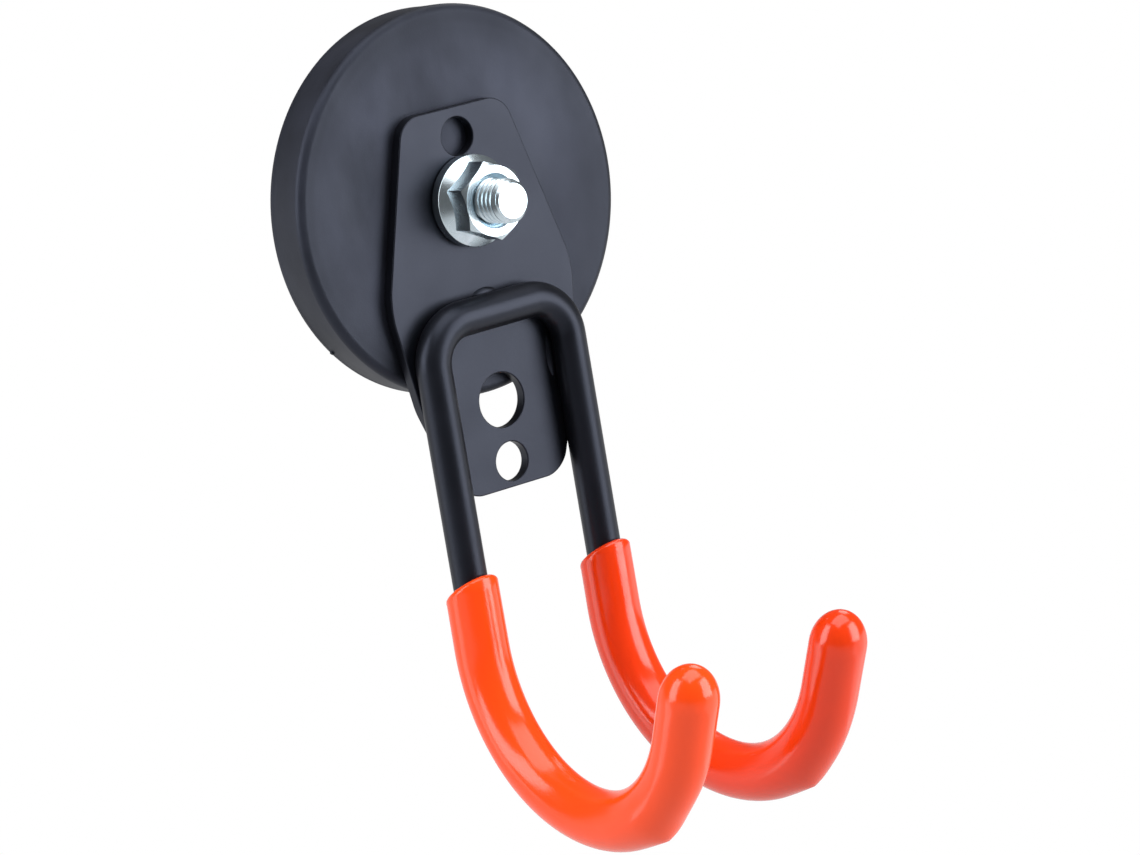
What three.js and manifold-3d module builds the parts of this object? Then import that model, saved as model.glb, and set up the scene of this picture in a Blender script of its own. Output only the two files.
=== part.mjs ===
import * as THREE from 'three';
import { mergeVertices } from 'three/addons/utils/BufferGeometryUtils.js';
import Module from 'manifold-3d';

// Magnetic headphone holder: a rubber-covered disc magnet holds a steel bracket on its threaded
// stud, and one bent rod with two sleeved hooks is welded to the bracket.
// Lengths are in millimetres. X runs right, Y runs into the wall and Z runs up.
// The origin is the centre of the magnet's holding face, and a depth is measured from that face
// towards the front, along -Y.

// Fits that every piece shares
const clearance = 0.3;
const overrun = 1;

// Rubber cover of the magnet
const coverRadius = 44;
const coverThickness = 12.5;
const coverFrontRound = 1.8;
const coverBackRound = 0.8;
const backSkin = 1.3;
const sideWall = 2.5;

// Round magnets in two rings on the back of the yoke, as wide as the rings leave room for
const magnetThickness = 4;
const magnetGap = 1.7;
const ringMargin = 0.6;
const ringStep = 1.4;
const outerMagnets = 12;
const innerMagnets = 6;

// Steel yoke
const yokeThickness = 3;

// Threaded stud, headed behind the yoke
const studRadius = 5.1;
const studHeadRadius = 7.2;
const studShow = 6.6;
const studEndChamfer = 1.1;
const threadPitch = 1.5;
const threadDepth = 0.8;

// Bracket plate
const plateThickness = 2.7;
const plateTop = 21.5;
const plateTopHalf = 14.6;
const plateTopRound = 6;
const plateWideDrop = 19.6;
const plateWideHalf = 26.4;
const plateWideRound = 20;
const plateShoulderDrop = 44;
const plateShoulderHalf = 22.5;
const plateShoulderRound = 15;
const plateFootDrop = 66.5;
const plateFootHalf = 14.1;
const plateFootRound = 7;
const upperHoleRise = 14.8;
const upperHoleRadius = 4.4;
const middleHoleDrop = 46.3;
const middleHoleRadius = 6.3;
const lowerHoleDrop = 60.6;
const lowerHoleRadius = 4.5;

// Flange nut
const nutHeight = 9.8;
const nutAcrossFlats = 16;
const nutFlangeRadius = 10.5;
const nutRimThickness = 2.8;
const nutConeSlope = Math.tan(THREE.MathUtils.degToRad(30));
const nutCountersink = 0.9;
const nutTurn = THREE.MathUtils.degToRad(5);

// Bent rod: a crossbar, two legs and two hooks
const rodRadius = 4.1;
const rodEndChamfer = 1;
const weldSink = 1.2;
const legSpacing = 38.8;
const barDrop = 25.2;
const barBendRadius = 10;
const hookDrop = 98.9;
const hookBendRadius = 37.3;
const hookBend = THREE.MathUtils.degToRad(154.6);
const hookTip = 16;
const toeOut = THREE.MathUtils.degToRad(1.6);

// Sleeves, dipped on the tilted hooks, so the dip line slopes and the plastic sags at the low point
const sleeveLead = 13.2;
const sleeveTopWall = 1.7;
const sleeveTipWall = 2.2;
const sleeveTopRound = 1.3;
const dipTilt = THREE.MathUtils.degToRad(30);
const sagHeight = 1;
const sagSpread = 12;

// Weld beads between the rod and the plate
const beadRadius = 2.2;
const barBeadLength = 12;
const legBeadLength = 11;
const legBeadDrop = 41;

// Facets
const coverSides = 56;
const yokeSides = 48;
const magnetSides = 16;
const holeSides = 24;
const studSides = 20;
const rodSides = 16;
const sleeveSides = 18;
const beadSides = 10;
const roundSteps = 3;
const tipSteps = 4;
const bendStep = THREE.MathUtils.degToRad(8.2);
const ringsPerPitch = 4;

// Depths worked out from the wall to the front
const magnetBack = backSkin + clearance;
const magnetFront = magnetBack + magnetThickness;
const yokeBack = magnetFront + clearance;
const yokeFront = yokeBack + yokeThickness;
const plateBack = coverThickness + clearance;
const plateFront = plateBack + plateThickness;
const nutBack = plateFront + clearance;
const nutFront = nutBack + nutHeight;
const studEnd = nutFront + studShow;
const rodDepth = plateFront + rodRadius - weldSink;
const yokeRadius = coverRadius - sideWall - clearance;
const studHoleRadius = studRadius + clearance;

// Magnets: the inner ring's neighbours lie a gap apart, and the outer ring reaches the yoke's rim
const innerChordShare = 2 * Math.sin(Math.PI / innerMagnets);
const ringRoom = yokeRadius - ringMargin - ringStep - magnetGap / innerChordShare;
const magnetRadius = ringRoom / (3 + 2 / innerChordShare);
const outerRing = yokeRadius - ringMargin - magnetRadius;
const innerRing = outerRing - 2 * magnetRadius - ringStep;

// Finishes
const rubber = new THREE.MeshStandardMaterial({ color: 0x1f2024, roughness: 0.62, metalness: 0 });
const blackCoat = new THREE.MeshStandardMaterial({ color: 0x26272c, roughness: 0.48, metalness: 0.1 });
const brightZinc = new THREE.MeshStandardMaterial({ color: 0xc8ccd6, roughness: 0.26, metalness: 1 });
const orangePvc = new THREE.MeshStandardMaterial({ color: 0xe8410f, roughness: 0.24, metalness: 0 });
const nickel = new THREE.MeshStandardMaterial({ color: 0xbcb8ae, roughness: 0.22, metalness: 1 });
const bareSteel = new THREE.MeshStandardMaterial({ color: 0x8d9095, roughness: 0.45, metalness: 1 });

const wasm = await Module();
wasm.setup();

// Closed solid of a geometry, with its faces pointing out.
function solidOf(geometry) {
  const bare = geometry.clone();
  bare.deleteAttribute('normal');
  bare.deleteAttribute('uv');
  const merged = mergeVertices(bare);
  const place = merged.attributes.position.array;
  const corners = [];
  const a = new THREE.Vector3();
  const b = new THREE.Vector3();
  const c = new THREE.Vector3();
  let volume = 0;
  for (let i = 0; i < merged.index.count; i += 3) {
    const triangle = Array.from(merged.index.array.slice(i, i + 3));
    if (new Set(triangle).size === 3) {
      corners.push(triangle);
      a.fromArray(place, triangle[0] * 3);
      b.fromArray(place, triangle[1] * 3);
      c.fromArray(place, triangle[2] * 3);
      volume += a.dot(b.cross(c));
    }
  }
  if (volume < 0) {
    corners.forEach((triangle) => triangle.reverse());
  }
  return new wasm.Manifold(new wasm.Mesh({
    numProp: 3,
    vertProperties: new Float32Array(place),
    triVerts: new Uint32Array(corners.flat()),
  }));
}

// Named mesh of a solid.
function meshOf(name, solid, material) {
  const result = solid.getMesh();
  const geometry = new THREE.BufferGeometry();
  geometry.setAttribute('position', new THREE.BufferAttribute(result.vertProperties, 3));
  geometry.setIndex(new THREE.BufferAttribute(result.triVerts, 1));
  geometry.computeVertexNormals();
  const mesh = new THREE.Mesh(geometry, material);
  mesh.name = name;
  return mesh;
}

// Geometry turned about the stud's axis from points of radius and depth.
function turnedGeometry(profile, sides) {
  const points = profile.map(([radius, depth]) => new THREE.Vector2(radius, -depth));
  return new THREE.LatheGeometry(points, sides);
}

// Solid turned about an axis parallel to the stud's, at a place across and up.
function turned(profile, sides, across = 0, up = 0) {
  return solidOf(turnedGeometry(profile, sides).translate(across, 0, up));
}

// Plain round solid between two depths.
function disc(radius, back, front, sides, across = 0, up = 0) {
  return turned([[0, back], [radius, back], [radius, front], [0, front]], sides, across, up);
}

// Points of a rounded corner, from one angle to another about its centre.
function rounding(centre, depth, radius, from, to, steps) {
  const points = [];
  for (let i = 0; i <= steps; i += 1) {
    const angle = from + (to - from) * (i / steps);
    points.push([centre + radius * Math.cos(angle), depth + radius * Math.sin(angle)]);
  }
  return points;
}

// Places of the round magnets: an outer ring near the yoke's rim and an inner ring.
function magnetPlaces() {
  const rings = [[outerRing, outerMagnets], [innerRing, innerMagnets]];
  return rings.flatMap(([ring, count]) => Array.from({ length: count }, (_, i) => {
    const angle = (2 * Math.PI * i) / count;
    return { across: ring * Math.cos(angle), up: ring * Math.sin(angle) };
  }));
}

// Rubber cover, moulded round the magnets, the yoke and the stud's head.
function rubberCover() {
  const quarter = Math.PI / 2;
  let cover = turned([
    [0, 0],
    ...rounding(coverRadius - coverBackRound, coverBackRound, coverBackRound, -quarter, 0, roundSteps),
    ...rounding(coverRadius - coverFrontRound, coverThickness - coverFrontRound, coverFrontRound,
      0, quarter, roundSteps),
    [0, coverThickness],
  ], coverSides);
  const yokeRoom = disc(yokeRadius + clearance, magnetFront, yokeFront + clearance, yokeSides);
  const headRoom = disc(studHeadRadius + clearance, backSkin, yokeBack, studSides);
  const studRoom = disc(studHoleRadius, yokeBack, coverThickness + overrun, studSides);
  cover = cover.subtract(yokeRoom).subtract(headRoom).subtract(studRoom);
  for (const { across, up } of magnetPlaces()) {
    const room = disc(magnetRadius + clearance, backSkin, yokeBack, magnetSides, across, up);
    cover = cover.subtract(room);
  }
  return meshOf('rubber_cover', cover, rubber);
}

// Steel yoke disc with its hole for the stud.
function yokeDisc() {
  const yoke = disc(yokeRadius, yokeBack, yokeFront, yokeSides);
  const hole = disc(studHoleRadius, yokeBack - overrun, yokeFront + overrun, studSides);
  return meshOf('yoke_disc', yoke.subtract(hole), bareSteel);
}

// Round magnets, each a mesh of its own.
function roundMagnets() {
  const middle = magnetBack + magnetThickness / 2;
  return magnetPlaces().map(({ across, up }, i) => {
    const name = `magnet_${String(i + 1).padStart(2, '0')}`;
    const body = disc(magnetRadius, -magnetThickness / 2, magnetThickness / 2, magnetSides);
    const magnet = meshOf(name, body, nickel);
    magnet.position.set(across, -middle, up);
    return magnet;
  });
}

// Stud with a round head and a right-hand thread in front of the cover.
function threadedStud() {
  const threadStart = plateBack;
  const rings = Math.round((studEnd - threadStart) / (threadPitch / ringsPerPitch));
  const profile = [[0, magnetBack], [studHeadRadius, magnetBack], [studHeadRadius, magnetFront]];
  profile.push([studRadius, magnetFront]);
  for (let i = 0; i <= rings; i += 1) {
    profile.push([studRadius, threadStart + (studEnd - threadStart) * (i / rings)]);
  }
  profile.push([0, studEnd]);
  const geometry = turnedGeometry(profile, studSides);
  const place = geometry.attributes.position;
  for (let i = 0; i < place.count; i += 1) {
    const across = place.getX(i);
    const up = place.getZ(i);
    const depth = -place.getY(i);
    const radius = Math.hypot(across, up);
    if (depth > threadStart && radius > 0) {
      const phase = depth / threadPitch - Math.atan2(up, across) / (2 * Math.PI);
      const rise = Math.abs(2 * (phase - Math.floor(phase)) - 1);
      const threaded = studRadius - threadDepth * (1 - rise);
      const chamfered = studRadius - Math.max(0, depth - (studEnd - studEndChamfer));
      const scale = Math.min(threaded, chamfered) / radius;
      place.setX(i, across * scale);
      place.setZ(i, up * scale);
    }
  }
  return meshOf('threaded_stud', solidOf(geometry), brightZinc);
}

// Outline with every corner rounded. The corners turn left all the way round.
function roundedOutline(corners) {
  const outline = new THREE.Shape();
  corners.forEach(([x, y, radius], i) => {
    const corner = new THREE.Vector2(x, y);
    const before = new THREE.Vector2(...corners.at(i - 1)).sub(corner).normalize();
    const after = new THREE.Vector2(...corners[(i + 1) % corners.length]).sub(corner).normalize();
    const half = Math.acos(before.dot(after)) / 2;
    const reach = radius / Math.tan(half);
    const centre = before.clone().add(after).setLength(radius / Math.sin(half)).add(corner);
    const start = before.multiplyScalar(reach).add(corner);
    const end = after.multiplyScalar(reach).add(corner);
    const from = start.clone().sub(centre).angle();
    const to = end.clone().sub(centre).angle();
    if (i === 0) {
      outline.moveTo(start.x, start.y);
    } else {
      outline.lineTo(start.x, start.y);
    }
    outline.absarc(centre.x, centre.y, radius, from, to, false);
  });
  outline.closePath();
  return outline;
}

// The plate's outline made solid between two depths.
function plateSlab(back, front) {
  const right = [
    [plateFootHalf, -plateFootDrop, plateFootRound],
    [plateShoulderHalf, -plateShoulderDrop, plateShoulderRound],
    [plateWideHalf, -plateWideDrop, plateWideRound],
    [plateTopHalf, plateTop, plateTopRound],
  ];
  const left = right.map(([x, z, radius]) => [-x, z, radius]).reverse();
  const geometry = new THREE.ExtrudeGeometry(roundedOutline([...right, ...left]), {
    depth: front - back,
    bevelEnabled: false,
    curveSegments: roundSteps,
  });
  geometry.rotateX(Math.PI / 2);
  geometry.translate(0, -back, 0);
  return solidOf(geometry);
}

// Bracket plate with its holes, and a shallow seat where the rod is welded on.
function bracketPlate() {
  let plate = plateSlab(plateBack, plateFront);
  const holes = [
    [studHoleRadius, 0],
    [upperHoleRadius, upperHoleRise],
    [middleHoleRadius, -middleHoleDrop],
    [lowerHoleRadius, -lowerHoleDrop],
  ];
  for (const [radius, up] of holes) {
    plate = plate.subtract(disc(radius, plateBack - overrun, plateFront + overrun, holeSides, 0, up));
  }
  plate = plate.subtract(rodSolid(clearance));
  return meshOf('bracket_plate', plate, blackCoat);
}

// Hexagon nut with a conical flange, a chamfered top and a countersunk bore.
function flangeNut() {
  const cornerRadius = nutAcrossFlats / Math.sqrt(3);
  const flatRadius = nutAcrossFlats / 2;
  const hexagon = new THREE.CylinderGeometry(cornerRadius, cornerRadius, nutHeight, 6);
  hexagon.translate(0, -nutHeight / 2, 0);
  const topTrim = turned([
    [0, 0],
    [nutFlangeRadius, 0],
    [nutFlangeRadius, nutHeight - (nutFlangeRadius - flatRadius) * nutConeSlope],
    [flatRadius, nutHeight],
    [0, nutHeight],
  ], holeSides * 2);
  const flange = turned([
    [0, 0],
    [nutFlangeRadius, 0],
    [nutFlangeRadius, nutRimThickness],
    [studHoleRadius, nutRimThickness + (nutFlangeRadius - studHoleRadius) * nutConeSlope],
    [0, nutRimThickness + (nutFlangeRadius - studHoleRadius) * nutConeSlope],
  ], holeSides * 2);
  const bore = turned([
    [0, -overrun],
    [studHoleRadius, -overrun],
    [studHoleRadius, nutHeight - nutCountersink],
    [studHoleRadius + nutCountersink + overrun, nutHeight + overrun],
    [0, nutHeight + overrun],
  ], studSides);
  const body = solidOf(hexagon).intersect(topTrim).add(flange).subtract(bore);
  const nut = meshOf('flange_nut', body, brightZinc);
  nut.position.y = -nutBack;
  nut.rotation.y = -nutTurn;
  return nut;
}

// Right half of the rod's centreline, as the moves of a bender from the middle of the crossbar.
const rodMoves = [
  { length: legSpacing / 2 - barBendRadius },
  { length: (barBendRadius * Math.PI) / 2, radius: barBendRadius, toward: new THREE.Vector3(0, 0, -1) },
  { length: hookDrop - barDrop - barBendRadius },
  {
    length: hookBendRadius * hookBend,
    radius: hookBendRadius,
    toward: new THREE.Vector3(Math.sin(toeOut), -Math.cos(toeOut), 0),
  },
  { length: hookTip },
];
const hookStart = rodMoves.slice(0, 3).reduce((sum, move) => sum + move.length, 0);
const rodEnd = rodMoves.reduce((sum, move) => sum + move.length, 0);

// Place and turn of the rod's section at a distance from the middle of the crossbar.
function rodPose(distance) {
  const place = new THREE.Vector3(0, -rodDepth, -barDrop);
  const turn = new THREE.Quaternion();
  let rest = distance;
  rodMoves.forEach((move, i) => {
    const last = i === rodMoves.length - 1;
    const length = last ? rest : Math.min(rest, move.length);
    const heading = new THREE.Vector3(1, 0, 0).applyQuaternion(turn);
    if (move.radius) {
      const axis = heading.clone().cross(move.toward).normalize();
      const centre = place.clone().addScaledVector(move.toward, move.radius);
      const swing = new THREE.Quaternion().setFromAxisAngle(axis, length / move.radius);
      place.sub(centre).applyQuaternion(swing).add(centre);
      turn.premultiply(swing);
    } else {
      place.addScaledVector(heading, length);
    }
    rest -= length;
  });
  return { place, turn };
}

// Distances of the rings that a bent piece needs between two distances, finest in the bends.
function bendRings(from, to) {
  const rings = [];
  let start = 0;
  for (const move of rodMoves) {
    const steps = move.radius ? Math.ceil(move.length / move.radius / bendStep) : 1;
    for (let i = 0; i <= steps; i += 1) {
      rings.push(start + move.length * (i / steps));
    }
    start += move.length;
  }
  const inside = rings.filter((ring) => ring > from + clearance && ring < to - clearance);
  return inside.filter((ring, i) => i === 0 || ring - inside[i - 1] > clearance);
}

// Bends a piece turned about a straight axis onto the rod: its points of radius and distance
// follow the centreline, and negative distances lie on the left half. The straight piece can be
// given another form first: its x runs to the outside of the hook and its y along the rod.
function bentOnRod(profile, sides, form = () => {}) {
  const points = profile.map(([radius, distance]) => new THREE.Vector2(radius, distance));
  const geometry = new THREE.LatheGeometry(points, sides);
  const place = geometry.attributes.position;
  const point = new THREE.Vector3();
  for (let i = 0; i < place.count; i += 1) {
    point.fromBufferAttribute(place, i);
    const side = point.y < 0 ? -1 : 1;
    point.y = Math.abs(point.y);
    form(point);
    const pose = rodPose(point.y);
    point.set(0, point.x, point.z).applyQuaternion(pose.turn).add(pose.place);
    place.setXYZ(i, side * point.x, point.y, point.z);
  }
  return solidOf(geometry);
}

// The whole rod, or the room round it when it is made fatter by a gap.
function rodSolid(gap) {
  const radius = rodRadius + gap;
  const end = rodEnd + gap;
  const half = bendRings(0, end - rodEndChamfer).map((ring) => [radius, ring]);
  half.push([radius, end - rodEndChamfer], [radius - rodEndChamfer, end], [0, end]);
  const mirrored = half.map(([ringRadius, distance]) => [ringRadius, -distance]).reverse();
  return bentOnRod([...mirrored, ...half], rodSides);
}

// Slopes the upper end of a straight sleeve and thickens its outside at the low point of the dip.
function dippedForm(point) {
  const lowPoint = hookStart + hookBendRadius * (Math.PI / 2 + dipTilt);
  const radius = Math.hypot(point.x, point.z);
  if (radius > rodRadius + 2 * clearance) {
    const sag = sagHeight * Math.exp(-(((point.y - lowPoint) / sagSpread) ** 2));
    const scale = 1 + (sag * Math.max(0, point.x / radius)) / radius;
    point.x *= scale;
    point.z *= scale;
  }
  const lean = Math.max(0, (hookStart - point.y) / sleeveLead);
  point.y += Math.tan(dipTilt) * point.x * lean;
}

// Dipped sleeve on one hook, thicker towards its closed tip. Side is 1 for right, -1 for left.
function hookSleeve(name, side) {
  const quarter = Math.PI / 2;
  const bore = rodRadius + clearance;
  const boreEnd = rodEnd + clearance;
  const top = hookStart - sleeveLead;
  const topRadius = bore + sleeveTopWall;
  const tipRadius = bore + sleeveTipWall;
  const tip = boreEnd + sleeveTipWall;
  const domeStart = tip - tipRadius;
  const rings = bendRings(top + sleeveTopRound, domeStart);
  const outerRadius = (ring) => topRadius + ((tipRadius - topRadius) * (ring - top)) / (domeStart - top);
  const profile = [
    [0, boreEnd],
    [bore, boreEnd],
    ...rings.map((ring) => [bore, ring]).reverse(),
    [bore, top],
    ...rounding(topRadius - sleeveTopRound, top + sleeveTopRound, sleeveTopRound, -quarter, 0, roundSteps),
    ...rings.map((ring) => [outerRadius(ring), ring]),
    ...rounding(0, domeStart, tipRadius, 0, quarter, tipSteps).slice(0, -1),
    [0, tip],
  ];
  const sided = profile.map(([radius, ring]) => [radius, ring * side]);
  return meshOf(name, bentOnRod(sided, sleeveSides, dippedForm), orangePvc);
}

// Weld beads in the corners between the rod and the plate.
function weldBeads() {
  const rodRoom = rodSolid(clearance);
  const plateRoom = plateSlab(plateBack, plateFront + clearance);
  const barBead = new THREE.CapsuleGeometry(beadRadius, barBeadLength, roundSteps, beadSides);
  barBead.rotateZ(Math.PI / 2);
  barBead.translate(0, -plateFront, rodRadius - barDrop);
  const trimmed = (bead) => solidOf(bead).subtract(rodRoom).subtract(plateRoom);
  const beads = [meshOf('weld_bead_bar', trimmed(barBead), blackCoat)];
  for (const [name, side] of [['weld_bead_left', -1], ['weld_bead_right', 1]]) {
    const legBead = new THREE.CapsuleGeometry(beadRadius, legBeadLength, roundSteps, beadSides);
    legBead.rotateX(Math.PI / 2);
    legBead.translate(side * (legSpacing / 2 - rodRadius), -plateFront, -legBeadDrop);
    beads.push(meshOf(name, trimmed(legBead), blackCoat));
  }
  return beads;
}

const magnetGroup = new THREE.Group();
magnetGroup.add(rubberCover(), yokeDisc(), ...roundMagnets(), threadedStud());

const bracketGroup = new THREE.Group();
bracketGroup.add(bracketPlate(), meshOf('hook_rod', rodSolid(0), blackCoat));
bracketGroup.add(hookSleeve('left_sleeve', -1), hookSleeve('right_sleeve', 1), ...weldBeads());

const group = new THREE.Group();
group.add(magnetGroup, bracketGroup, flangeNut());

export default group;
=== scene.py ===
"""Magnetic headphone holder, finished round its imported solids.

A rubber-covered disc magnet carries a steel bracket on its threaded stud, and a bent rod with two
dipped hooks is welded to the bracket. X runs right, Y runs into the wall and Z runs up, in metres.
The origin is the centre of the magnet's holding face, and a depth is measured from it along -Y.
"""

import math
from typing import NamedTuple

import bmesh
import bpy
from bpy.props import FloatProperty, FloatVectorProperty, PointerProperty
from mathutils import Matrix, Quaternion, Vector


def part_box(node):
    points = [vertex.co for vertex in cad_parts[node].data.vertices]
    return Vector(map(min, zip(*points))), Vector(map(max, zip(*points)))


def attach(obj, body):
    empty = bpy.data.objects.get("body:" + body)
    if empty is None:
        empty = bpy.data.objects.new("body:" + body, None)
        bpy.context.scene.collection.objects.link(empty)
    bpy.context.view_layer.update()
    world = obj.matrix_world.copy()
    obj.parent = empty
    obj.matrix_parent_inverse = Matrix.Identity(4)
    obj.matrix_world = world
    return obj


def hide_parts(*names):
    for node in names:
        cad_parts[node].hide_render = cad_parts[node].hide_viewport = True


bl_info = {
    "name": "Magnetic headphone holder",
    "version": (1, 0, 0),
    "blender": (4, 5, 0),
    "location": "3D View > Sidebar > Holder",
    "description": "Models a disc magnet with a bracket, a nut and two sleeved hooks",
    "category": "Add Mesh",
}

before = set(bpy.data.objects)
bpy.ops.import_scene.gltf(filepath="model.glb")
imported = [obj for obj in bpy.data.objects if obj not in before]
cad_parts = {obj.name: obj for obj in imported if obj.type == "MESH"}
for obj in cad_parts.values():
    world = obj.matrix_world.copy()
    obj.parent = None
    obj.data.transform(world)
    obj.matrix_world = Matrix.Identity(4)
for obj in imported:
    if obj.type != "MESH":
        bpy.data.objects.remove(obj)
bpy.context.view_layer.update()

mm = 0.001
quarter = math.pi / 2
blue_black_sheen = (0.66, 0.74, 1.0, 1)
# Painted reflection: the pale colour that the vinyl shows in far reflections instead of its orange.
painted_pale_reflection = (0.88, 0.92, 0.96)

# Places within tiny are the same, pieces that meet are touch apart, and a cutter goes on past what
# it cuts by overrun.
tiny = 0.01 * mm
touch = 0.02 * mm
overrun = 1 * mm

cover_low, cover_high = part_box("rubber_cover")
yoke_low, yoke_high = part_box("yoke_disc")
stud_low, stud_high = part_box("threaded_stud")
plate_low, plate_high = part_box("bracket_plate")
nut_low, nut_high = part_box("flange_nut")
magnet_names = sorted(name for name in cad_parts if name.startswith("magnet_"))


def length(name, description, default):
    """Property that holds a length."""
    return FloatProperty(name=name, description=description, default=default, unit="LENGTH", precision=4)


def angle(name, description, default):
    """Property that holds an angle, given in degrees."""
    turn = math.radians(default)
    return FloatProperty(name=name, description=description, default=turn, subtype="ANGLE")


def colour(name, description, default):
    """Property that holds a colour."""
    return FloatVectorProperty(name=name, description=description, default=default, subtype="COLOR")


class HolderSizes(bpy.types.PropertyGroup):
    """Sizes of the holder"""

    cover_radius: length("Cover radius", "Radius of the rubber cover", cover_high.x)
    cover_thickness: length("Cover thickness", "Thickness of the rubber cover", -cover_low.y)
    cover_flare: length("Cover flare", "How far the rim flares out towards the front", 0.55 * mm)
    cover_front_round: length("Cover front round", "Rounding of the front edge", 2 * mm)
    cover_back_round: length("Cover back round", "Rounding of the back edge", 0.8 * mm)
    seam_depth: length("Seam depth", "Depth of the mould seam on the rim", 1.5 * mm)
    seam_height: length("Seam height", "Height of the mould seam on the rim", 0.06 * mm)
    stud_radius: length("Stud radius", "Radius over the thread", 5.1 * mm)
    stud_chamfer: length("Stud chamfer", "Chamfer at the end of the stud", 1.1 * mm)
    thread_pitch: length("Thread pitch", "Travel of one turn", 1.5 * mm)
    thread_depth: length("Thread depth", "Depth of the thread", 0.85 * mm)
    plate_top_half: length("Plate top", "Half of the width at the top", 14.6 * mm)
    plate_wide_half: length("Plate width", "Half of the greatest width", 26.4 * mm)
    plate_wide_drop: length("Plate wide drop", "Drop of the widest corner", 19.6 * mm)
    plate_shoulder_half: length("Plate shoulder", "Half of the width at the shoulder", 22.5 * mm)
    plate_shoulder_drop: length("Plate shoulder drop", "Drop of the shoulder", 44 * mm)
    plate_foot_half: length("Plate foot", "Half of the width at the foot", 14.1 * mm)
    plate_edge: length("Plate edge", "Rounding of the punched front edge", 0.3 * mm)
    nut_flats: length("Nut flats", "Width across the flats", 16 * mm)
    nut_flange_radius: length("Nut flange", "Radius of the flange", 10.5 * mm)
    nut_rim: length("Nut rim", "Thickness of the flange at its rim", 2.8 * mm)
    nut_cone: angle("Nut cone", "Slope of the flange", 36)
    nut_turn: angle("Nut turn", "How far the nut is turned", 5)
    rod_radius: length("Rod radius", "Radius of the coated rod", 4.1 * mm)
    rod_sink: length("Rod sink", "How deep the rod is seated in the plate", 1.2 * mm)
    leg_spacing: length("Leg spacing", "Distance between the two legs", 38.8 * mm)
    bar_drop: length("Bar drop", "Drop of the crossbar below the stud", 25.2 * mm)
    bar_bend: length("Bar bend", "Radius of the two bends in the crossbar", 10 * mm)
    hook_drop: length("Hook drop", "Drop of the middle of the hook bends", 98.9 * mm)
    hook_bend: length("Hook bend", "Radius of the hook bends", 37.3 * mm)
    hook_turn: angle("Hook turn", "Angle that a hook is bent through", 154.6)
    hook_tip: length("Hook tip", "Straight end of a hook", 16 * mm)
    toe_out: angle("Toe out", "How far the hooks point apart", 1.6)
    sleeve_lead: length("Sleeve lead", "Straight stretch of a sleeve", 13.2 * mm)
    drip_height: length("Drip height", "Height of the dried drip under a sleeve", 0.85 * mm)
    dip_tilt: angle("Dip tilt", "Slope of the dip line", 30)
    bead_radius: length("Weld radius", "Radius of the weld beads", 1.6 * mm)


class HolderColours(bpy.types.PropertyGroup):
    """Colours of the holder"""

    rubber: colour("Rubber", "Moulded rubber", (0.0036, 0.0038, 0.0050))
    rubber_bloom: colour("Rubber bloom", "Grey bloom on the rubber", (0.048, 0.053, 0.078))
    coat: colour("Coat", "Black powder coat", (0.0030, 0.0032, 0.0045))
    zinc: colour("Zinc", "Bright zinc plate", (0.66, 0.76, 0.82))
    vinyl: colour("Vinyl", "Dipped vinyl of the left sleeve", (0.97, 0.067, 0.004))
    deep_vinyl: colour("Deep vinyl", "Slightly deeper vinyl of the right sleeve", (0.78, 0.041, 0.0025))
    nickel: colour("Nickel", "Nickel plate", (0.66, 0.62, 0.55))
    steel: colour("Steel", "Cut steel", (0.42, 0.43, 0.45))


# Modelling steps


def select_nothing():
    """Leaves edit mode and selects nothing."""
    if bpy.context.object and bpy.context.object.mode != "OBJECT":
        bpy.ops.object.mode_set(mode="OBJECT")
    bpy.ops.object.select_all(action="DESELECT")


def make_active(piece):
    """Selects one piece and nothing else, in object mode."""
    select_nothing()
    piece.select_set(True)
    bpy.context.view_layer.objects.active = piece


def fresh(name, primitive, **options):
    """New piece from a primitive, with its place put into its mesh."""
    select_nothing()
    primitive(**options)
    bpy.ops.object.transform_apply(location=True, rotation=True, scale=True)
    piece = bpy.context.object
    piece.name = name
    return piece


def edit(piece):
    """Opens a piece's mesh with everything in it selected."""
    make_active(piece)
    bpy.ops.object.mode_set(mode="EDIT")
    bpy.ops.mesh.select_all(action="SELECT")


def pick(piece, kind, fits):
    """Selects the vertices, edges or faces that fit a test, and nothing else."""
    bpy.ops.mesh.select_all(action="DESELECT")
    bpy.ops.mesh.select_mode(type=kind)
    mesh = bmesh.from_edit_mesh(piece.data)
    parts = {"VERT": mesh.verts, "EDGE": mesh.edges, "FACE": mesh.faces}[kind]
    for part in parts:
        if fits(part):
            part.select_set(True)
    mesh.select_flush_mode()
    bmesh.update_edit_mesh(piece.data)


def extrude(step):
    """Extrudes the selection by a step."""
    bpy.ops.mesh.extrude_region_move(TRANSFORM_OT_translate={"value": step})


def spin(swing, centre, axis, steps):
    """Extrudes the selection round an axis, by the right-hand rule."""
    bpy.ops.mesh.spin(steps=steps, angle=-swing, center=centre, axis=axis)


def scale_about(factor, centre):
    """Scales the selection about a point."""
    bpy.ops.transform.resize(value=(factor, factor, factor), center_override=centre)


def close_mesh():
    """Merges doubles, turns every face outwards and leaves edit mode."""
    bpy.ops.mesh.select_all(action="SELECT")
    bpy.ops.mesh.remove_doubles(threshold=touch / 4)
    bpy.ops.mesh.normals_make_consistent(inside=False)
    bpy.ops.object.mode_set(mode="OBJECT")


def apply_modifier(piece, kind, **settings):
    """Adds a modifier with its settings and applies it."""
    make_active(piece)
    modifier = piece.modifiers.new(kind.title(), kind)
    for key, value in settings.items():
        setattr(modifier, key, value)
    bpy.ops.object.modifier_apply(modifier=modifier.name)


def combine(piece, tool, operation, overlaps=False):
    """Cuts, joins or intersects a piece with a tool, which is then gone."""
    apply_modifier(piece, "BOOLEAN", operation=operation, object=tool, solver="EXACT", use_self=overlaps)
    bpy.data.objects.remove(tool)
    edit(piece)
    close_mesh()


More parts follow.
